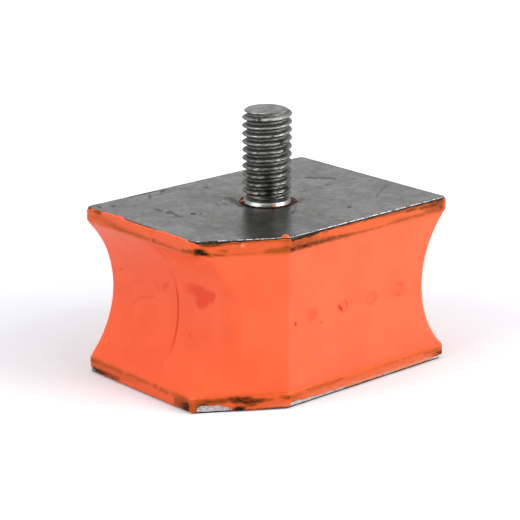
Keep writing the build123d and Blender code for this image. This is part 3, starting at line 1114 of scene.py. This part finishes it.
def lipRows(lip, skins, rounds, steps):
    # from the pocket's floor behind the plate, over the rim and down to the waist: how far in,
    # how far from the plate's outer face, and how much of the rim's own depth is added
    plain = np.ones(len(rounds))
    rows = [(skins, block["plate"], 0.0), (skins, 1.5, 0.3), (skins, 0.8, 0.8), (skins, 0.05, 1.0)]
    rows = [(inset * plain, depth * plain, share) for inset, depth, share in rows]
    rounds = np.minimum(rounds, skins - 0.03)
    rows.append((skins - 0.01, 0.0 * plain, 1.0))
    for turn in (90, 67, 45, 22, 0):
        swing = math.radians(turn)
        rows.append((rounds * (1 - math.cos(swing)), rounds * (1 - math.sin(swing)), 1.0))
    for k in range(1, body["lipRows"] + 1):
        share = k / body["lipRows"]
        depth = rounds + (lip + body["lipPast"] - rounds) * share
        rows.append((steps * ease(depth, lip - 0.25, lip + 0.15), depth, 1 - share))
    return rows


def smoothRound(values, reach):
    # a running mean round the outline
    kernel = np.ones(2 * reach + 1) / (2 * reach + 1)
    return np.convolve(np.concatenate([values[-reach:], values, values[:reach]]), kernel, "valid")


def bodySheet():
    height, lowerLip, upperLip = block["height"], body["lowerLip"], body["upperLip"]
    outline, sides, along = planRing(
        0, 0, body["lipCorners"], body["spacing"], body["arcSteps"], True
    )
    ragged = roughness([(x, y, 0) for x, y in outline], 0.9, 4)
    rounds = smoothRound(alongTable(rimRounds, sides, along), 4)
    steps = smoothRound(alongTable(lipSteps, sides, along), 6)
    skins = smoothRound(alongTable(topSkins, sides, along), 2)
    plainSkin = np.full(len(along), block["skin"])
    sideFilmsWithCreaseShade = smoothRound(np.array([body["dirtFilmAndCreaseShade"][sideNames[number]] for number in sides]), 4)
    # noise that shifts the dirt along and across the lips
    sway = roughness([(x, y, 20) for x, y in outline], 2.2, 3) * 0.9
    table, stains, paintedHighlights = [], [], []

    def addLip(lip, rimTable, strokes, paintedHighlightStrokes, isTop):
        rim = alongTable(rimTable, sides, along)
        rim = rim + ragged * (body["rimNoise"] + 0.12 * np.abs(rim))
        rows = lipRows(lip, skins if isTop else plainSkin, rounds, steps)
        for inset, depth, share in rows[::-1] if isTop else rows:
            depths = depth + share * (rim if isTop else np.maximum(rim, 0.03))
            for side, start, deep, wide, tall in body["beads"] if isTop else ():
                near = np.hypot(along - start, depths - deep) / wide
                inset = inset - tall * np.exp(-near ** 2) * (sides == sideNames.index(side))
            heights = height - depths if isTop else depths
            middle = float(depth.mean())
            ring = bodyRing(height - middle if isTop else middle, inset)
            table.append(np.column_stack([ring, heights]))
            # the film fades out between 0.15 and 0.6 mm past the lip, painting shade into the crease under
            # the lip step
            dirtFilmAndCreaseShade = sideFilmsWithCreaseShade * (1 - ease(depths, lip + 0.15, lip + 0.6))
            drift = roughness([(x, y, z * 2) for (x, y), z in zip(ring, heights)], 1.1, 3) * 0.16
            tone = strokeTone(strokes, sides, along + sway, depths + drift)
            stains.append(smoothRound(np.maximum(tone, dirtFilmAndCreaseShade), 1))
            # painted highlights on the lips
            paintedHighlights.append(smoothRound(strokeTone(paintedHighlightStrokes, sides, along, depths), 1))

    addLip(lowerLip, bottomRims, bottomStrokes, bottomPaintedHighlight, False)
    base, plain = lowerLip + body["lipPast"], height - lowerLip - upperLip - 2 * body["lipPast"]
    count, clean = round(plain / body["spacing"]), np.zeros(len(along))
    for z in (base + plain * k / count for k in range(1, count)):
        table.append(np.column_stack([bodyRing(z, steps), clean + z]))
        stain = clean
        if z < body["dirtReach"]:
            stain = strokeTone(bottomStrokes, sides, along, clean + z)
        if height - z < body["dirtReach"]:
            stain = strokeTone(topStrokes, sides, along, clean + (height - z))
        stains.append(stain)
        paintedHighlights.append(clean)
    addLip(upperLip, topRims, topStrokes, topPaintedHighlight, True)
    return closeRing(table), {"stain": closeRing(stains), "pale": closeRing(paintedHighlights)}


def shapeSkin(places):
    # uneven casting, the parting ridge on both ends and shallow round pips on the front side
    flat = places.reshape(-1, 3)
    casting, parting = body["casting"], body["parting"]
    uneven = roughness(flat, casting["grain"], 2) * casting["depth"]
    outward = flat * np.array([1, 1, 0])
    outward /= np.linalg.norm(outward, axis=1)[:, None]
    inBody = ease(np.minimum(flat[:, 2], block["height"] - flat[:, 2]), 2.6, 3.4)
    ridge = np.clip(1 - np.abs(flat[:, 1]) / parting["halfWidth"], 0, 1)
    ridge = ridge * (np.abs(flat[:, 0]) > parting["from"])
    push = (np.minimum(uneven, casting["most"]) + ridge * parting["height"]) * inBody
    flat = flat + outward * push[:, None]
    front = flat[:, 1] < -halfWidth + 0.6
    for x, z, radius, _, _ in frontPips:
        away = np.hypot(flat[:, 0] - x, flat[:, 2] - z)
        flat[:, 1] += front * body["pipDepth"] * (1 - ease(away, radius * 0.55, radius))
    flat[:, :2] = np.clip(flat[:, :2], (-halfLength, -halfWidth), (halfLength, halfWidth))
    return flat.reshape(places.shape)


def makeBody():
    places, paints = bodySheet()
    piece = wrapSheet("moulded_body", shapeSkin(places), paints)
    radius, floor = body["headPocket"]
    cutRound(piece, radius, floor, block["height"])
    for radius, top in (body["barrelPocket"], body["flangePocket"]):
        cutRound(piece, radius, -1, top)
    smoothShade(piece, 50)
    finishPiece(piece, orangeMaterial, "rubber_body")


makeBody()


# The steel plates

plate = {
    "spacing": 0.28,
    "burr": 0.06,
    # the edge's rows, as depths below the outer face, and the rows from there to the face, as
    # pairs of how far in and how deep
    "edgeDepths": (1.6, 1.3, 1.0, 0.8, 0.6, 0.48, 0.36, 0.3, 0.2, 0.14),
    "shoulder": ((0.02, 0.07), (0.06, 0.03), (0.12, 0.0), (0.25, 0.0), (0.6, 0.0), (1.4, 0.0)),
    "burrInset": (0.02, 0.06),
    "holeGap": 0.5,
    "bushRadius": 6.0,
    # depths that part bare edge from black: bare above the first on the top plate, and black below the
    # second on the bottom plate, a painted contact shadow along the floor
    "brightDepth": (0.13, 0.24),
}


def makePlate(name, node, isTop, brightTable, holeRadius):
    outer, inward = (block["height"], -1) if isTop else (0.0, 1)
    corners, thickness = [block["plateCorner"]] * 5, block["plate"]
    # how far in from the plate's edge and how far from its outer face each row lies
    rows = [(0.35, thickness), (0.05, thickness), (0.02, thickness - 0.08)]
    rows += [(0.0, depth) for depth in plate["edgeDepths"]]
    rows += plate["shoulder"]
    ring, sides, along = planRing(block["skin"], 0, corners, plate["spacing"], 6, False)
    outward = planRing(0, 0, corners, plate["spacing"], 6, False)[0] - ring
    skins = smoothRound(alongTable(topSkins, sides, along), 2)
    outward = outward * (1 - skins / block["skin"])[:, None] * isTop
    beads = roughness([(x, y, 7) for x, y in ring], 0.4, 3)
    bright = alongTable(brightTable, sides, along)
    burred = np.clip(bright, 0, 1) * np.clip(beads + 0.3, 0, 1) * plate["burr"]
    if isTop:
        bright = np.where(bright > 0, bright * np.clip(0.85 + 2.0 * beads, -0.1, 1.1), bright)
    table, edges = [], []
    shallow, deep = plate["brightDepth"]
    burrFrom, burrTo = plate["burrInset"]
    for inset, depth in rows:
        ring, _, _ = planRing(block["skin"] + inset, 0, corners, plate["spacing"], 6, False)
        lift = burred * (burrFrom <= inset <= burrTo) * isTop
        table.append(np.column_stack([ring + outward, outer + inward * (depth - lift)]))
        onEdge = inset < 0.1 and depth < thickness - 0.04
        # the edge is black wherever it is not bare, partly crust and partly painted shadow; the bottom
        # plate's rows next to the floor are always black, a painted contact shadow
        isBright = depth < shallow if isTop else depth > deep
        edges.append(bright * onEdge if isBright else np.full(len(ring), -1.0 * onEdge))
    piece = wrapSheet(name, closeRing(table), {"edge": closeRing(edges)})
    cutRound(piece, holeRadius, outer - 3, outer + 3)
    smoothShade(piece, 35)
    finishPiece(piece, plateMaterial, node)


makePlate("top_plate_steel", "top_plate", True, topBright, stud["radius"] + plate["holeGap"])
makePlate("bottom_plate_steel", "bottom_plate", False, bottomBright, plate["bushRadius"])


# The stud, with a real helical thread

def threadRadius(angle, z, crest, root):
    phase = (z / stud["pitch"] - angle / (2 * math.pi) - stud["phase"]) % 1
    away = np.abs(phase - 0.5)
    flank = 0.5 - stud["crestFlat"] - stud["rootFlat"]
    share = np.clip((away - stud["crestFlat"]) / flank, 0, 1)
    share = share - stud["flankCurve"] * np.sin(share * 2 * math.pi)
    # the lower crests were rolled short, with a seam along them
    deep, wide = stud["seam"]
    seam = deep * np.exp(-(away / wide) ** 2) * (1 - ease(z, *stud["seamEnd"]))
    return crest + (root - crest) * (share + seam * (crest > root))


def turnedSheet(name, rows, around, radiusOf):
    # a surface of revolution; rows without a radius get theirs from a rule
    angles = np.linspace(0, 2 * math.pi, around + 1)
    table = []
    for radius, z in rows:
        radii = radiusOf(angles, z) if radius is None else np.full(len(angles), radius)
        table.append(np.column_stack([
            radii * np.cos(angles), radii * np.sin(angles), np.full(len(angles), z)
        ]))
    return wrapSheet(name, np.array(table))


def makeStud():
    top, base, plateTop = studHigh.z, studLow.z, block["height"]
    under = plateTop - block["plate"]
    grooveBase = plateTop + stud["collar"]
    threadBase = grooveBase + stud["runout"]
    head, foot, root = stud["headRadius"], stud["radius"], stud["rootRadius"]
    chamfer, bevel = stud["headChamfer"], stud["bevel"]
    # radius and height of each row, from the head's underside up to the tip
    rows = [(0.4, base), (head - chamfer, base), (head, base + chamfer), (head, under - bevel)]
    rows += [(head - bevel, under), (foot + bevel, under), (foot, under + bevel)]
    rows += [(foot, plateTop + 0.1), (foot - 0.03, plateTop + 0.16)]
    rows += [(stud["collarTop"] + 0.02, grooveBase - 0.05), (stud["collarTop"] - 0.04, grooveBase)]
    rows += [(root + 0.1, grooveBase + 0.04), (root, grooveBase + 0.14)]
    steps = round((top - threadBase) / stud["rowStep"])
    rows += [(None, threadBase + (top - threadBase) * k / steps) for k in range(steps + 1)]
    rows += [(radius, top - below) for radius, below in stud["endFace"]]
    slope = (stud["radius"] - stud["tipRadius"]) / stud["tipSlope"]

    def radiusOf(angles, z):
        thread = threadRadius(angles, z, foot, root)
        thread = root + (thread - root) * ease(z, threadBase - 0.1, threadBase + 0.4)
        return np.minimum(thread, stud["tipRadius"] + (top - z) * slope)

    piece = turnedSheet("threaded_stud", rows, stud["around"], radiusOf)
    smoothShade(piece, 40)
    finishPiece(piece, studMaterial, "stud")


makeStud()


# The threaded bush in the underside

bush = {
    "bore": 3.4,
    "threadRadius": 4.0,
    "depth": 8.0,
    "radius": 6.0,
    "flangeRadius": (bushHigh.x - bushLow.x) / 2,
    "flangeTop": 3.5,
    "drill": 31.0,
    "around": 96,
    "threadRows": 90,
}


def makeBush():
    top, bore, depth, outside = bushHigh.z, bush["bore"], bush["depth"], bush["radius"]
    cone = bore * math.tan(math.radians(bush["drill"]))
    rows = [(0.4, top), (outside - 0.2, top), (outside, top - 0.2), (outside, bush["flangeTop"])]
    rows += [(bush["flangeRadius"], bush["flangeTop"]), (bush["flangeRadius"], block["plate"])]
    rows += [(outside, block["plate"]), (outside, 0.0), (bush["threadRadius"] + 0.1, 0.0)]
    steps = bush["threadRows"]
    rows += [(None, depth * k / steps) for k in range(1, steps + 1)]
    rows += [(bore * share, depth + cone * (1 - share)) for share in (0.98, 0.6, 0.1)]

    def radiusOf(angles, z):
        cut = threadRadius(angles, z, bush["threadRadius"], bore)
        cut = bore + (cut - bore) * (1 - ease(z, depth - 1.6, depth - 0.1))
        return np.maximum(cut, bush["threadRadius"] + 0.1 - z)

    piece = turnedSheet("threaded_bush_steel", rows, bush["around"], radiusOf)
    smoothShade(piece, 40)
    finishPiece(piece, bushMaterial, "threaded_bush")


makeBush()


# Rubber flash squeezed up round the stud's foot: black with dirt and with painted shade of the gap it
# fills, but for two clean blobs, and spread over the plate on one side

flash = {
    "inner": 4.03,
    "hole": 4.47,
    "outer": 4.52,
    "around": 240,
    # how dark it is, and how much less where it is spread
    "stain": (1.6, 0.15),
    # azimuth, width in degrees and reach
    "spread": (-40, 34, 0.42),
    # x, y, height, width and how clean it is
    "blobs": ((-3.66, 1.85, 0.42, 0.34, 1.0), (-2.0, -3.65, 0.36, 0.26, 1.0)),
}


def makeFlash():
    top, base = block["height"], block["height"] - block["plate"] + 0.03
    angles = np.linspace(0, 2 * math.pi, flash["around"] + 1)
    circle = np.column_stack([np.cos(angles), np.sin(angles)])
    uneven = roughness([(x * 4, y * 4, 3) for x, y in circle], 0.8, 3) * 0.1
    facing, wide, reach = flash["spread"]
    turned = (np.degrees(angles) - facing + 180) % 360 - 180
    spread = np.exp(-(turned / wide) ** 2)
    outer = flash["outer"] + reach * spread + uneven
    inner, hole = flash["inner"], flash["hole"]
    # radius, height and how much the unevenness and the blobs lift it
    rows = ((inner, base, 0), (inner, top + 0.06, 0.3), (inner + 0.08, top + 0.13, 0.8))
    rows += ((inner + 0.25, top + 0.15, 1), (hole, top + 0.09, 0.8), (outer - 0.05, top + 0.03, 0.2))
    rows += ((outer, top, 0), (hole, top, 0), (hole, base, 0), (inner, base, 0))
    table, stains = [], []
    dark, paler = flash["stain"]
    for radius, height, up in rows:
        ring = circle * (radius * np.ones(len(angles)))[:, None]
        clean, lift = np.zeros(len(angles)), uneven + 0.03
        for x, y, tall, size, purity in flash["blobs"]:
            near = np.exp(-(np.hypot(ring[:, 0] - x, ring[:, 1] - y) / size) ** 2)
            lift = lift + tall * near
            clean = np.maximum(clean, near * purity)
        table.append(np.column_stack([ring, height + lift * up]))
        # dark paint: dirt, and the painted shade of the gap round the stud
        stains.append((dark - paler * spread) * (1 - ease(clean, 0.15, 0.7)))
    piece = wrapSheet("stud_flash", np.array(table), {"stain": np.array(stains)})
    smoothShade(piece, 60)
    finishPiece(piece, orangeMaterial, None)


makeFlash()


# A drop of rubber on the top plate, at the end of the cut face

drop = {
    "place": (-11.2, -16.55),
    "size": (0.62, 0.5, 0.42),
    "turn": -30,
    "sunk": 0.04,
    "stain": 0.5,
}


def makeDrop():
    deselectAll()
    bpy.ops.mesh.primitive_uv_sphere_add(
        segments=32, ring_count=16, radius=mm,
        location=(*(side * mm for side in drop["place"]), (block["height"] - drop["sunk"]) * mm),
        rotation=(0, 0, math.radians(drop["turn"])), scale=drop["size"],
    )
    piece = bpy.context.object
    piece.name = piece.data.name = "rubber_drop"
    bpy.ops.object.transform_apply(location=True, rotation=True, scale=True)
    layer = piece.data.attributes.new("stain", "FLOAT", "POINT")
    layer.data.foreach_set("value", [drop["stain"]] * len(piece.data.vertices))
    smoothShade(piece, 60)
    finishPiece(piece, orangeMaterial, None)


makeDrop()


# Floor, light and surroundings

studio = {
    "floorSize": 4.0,
    "floorColour": (0.80, 0.81, 0.83),
    "liftColour": (0.9, 1.0, 1.12),
    # each pair of tones, and the places between which the first turns into the second
    "floorLift": (0.09, 0.5),
    "liftReach": (45, 190),
    "glossLift": (0.05, 0.75),
    "glossReach": (-40, 60),
    "backdrop": (1.0, 0.3),
    "backdropReach": (-0.25, 0.45),
    "aim": (0, 0, 0.015),
    # azimuth from the camera, elevation, distance, size and power
    "lamps": {
        "overhead_lamp": (0, 90, 0.6, 0.7, 2.65),
        "right_lamp": (75, 35, 0.7, 0.4, 3.5),
        "right_low_lamp": (50, 15, 0.7, 0.3, 1.6),
        "left_lamp": (-60, 35, 0.7, 0.5, 3.25),
    },
}


def makeFloor():
    deselectAll()
    bpy.ops.mesh.primitive_plane_add(size=studio["floorSize"])
    floor = bpy.context.object
    floor.name = "floor"
    r = Recipe(bpy.data.materials.new("pale_floor"))
    matt = r.node("ShaderNodeBsdfDiffuse", None, {"Color": (*studio["floorColour"], 1)})
    # the picture's white background begins a little way from the block
    away = (r.axis("X") ** 2 + r.axis("Y") ** 2) ** 0.5
    lift = r.ramp(away, *studio["liftReach"], *studio["floorLift"])
    # in reflections the floor is pale on the right and dim on the left
    toRight = r.facing(camera["azimuth"])
    reflected = r.ramp(toRight, *studio["glossReach"], *studio["glossLift"])
    lifted = r.node("ShaderNodeEmission", None, {
        "Color": (*studio["liftColour"], 1),
        "Strength": r.ray("Camera") * lift + r.ray("Glossy") * reflected,
    })
    both = r.node("ShaderNodeAddShader", None, {0: matt, 1: lifted})
    r.node("ShaderNodeOutputMaterial", None, {"Surface": both})
    floor.data.materials.append(r.owner)


def makeLamps():
    aim = Vector(studio["aim"])
    facing = camera["azimuth"] - 90
    for name, (side, up, far, size, power) in studio["lamps"].items():
        deselectAll()
        azimuth, elevation = math.radians(facing + side), math.radians(up)
        flat = math.cos(elevation)
        place = far * Vector((
            flat * math.cos(azimuth), flat * math.sin(azimuth), math.sin(elevation)
        ))
        turn = (aim - place).to_track_quat("-Z", "Y").to_euler()
        bpy.ops.object.light_add(type="AREA", location=place, rotation=turn)
        lamp = bpy.context.object
        lamp.name = name
        lamp.data.size = size
        lamp.data.energy = power


def makeWorld():
    # the lamps light the scene; the world is only seen by the camera and in reflections,
    # white behind the block and darker on the camera's side
    world = bpy.data.worlds.new("studio")
    bpy.context.scene.world = world
    r = Recipe(world, "Generated", 1.0)
    toCamera = r.facing(camera["azimuth"] - 90)
    tone = r.ramp(toCamera, *studio["backdropReach"], *studio["backdrop"])
    seen = r.ray("Camera").most(r.ray("Glossy") * tone)
    background = r.node("ShaderNodeBackground", None, {"Color": (1, 1, 1, 1), "Strength": seen})
    r.node("ShaderNodeOutputWorld", None, {"Surface": background})


makeFloor()
makeLamps()
makeWorld()
bpy.context.scene.view_settings.view_transform = "Standard"
print("scene lit")
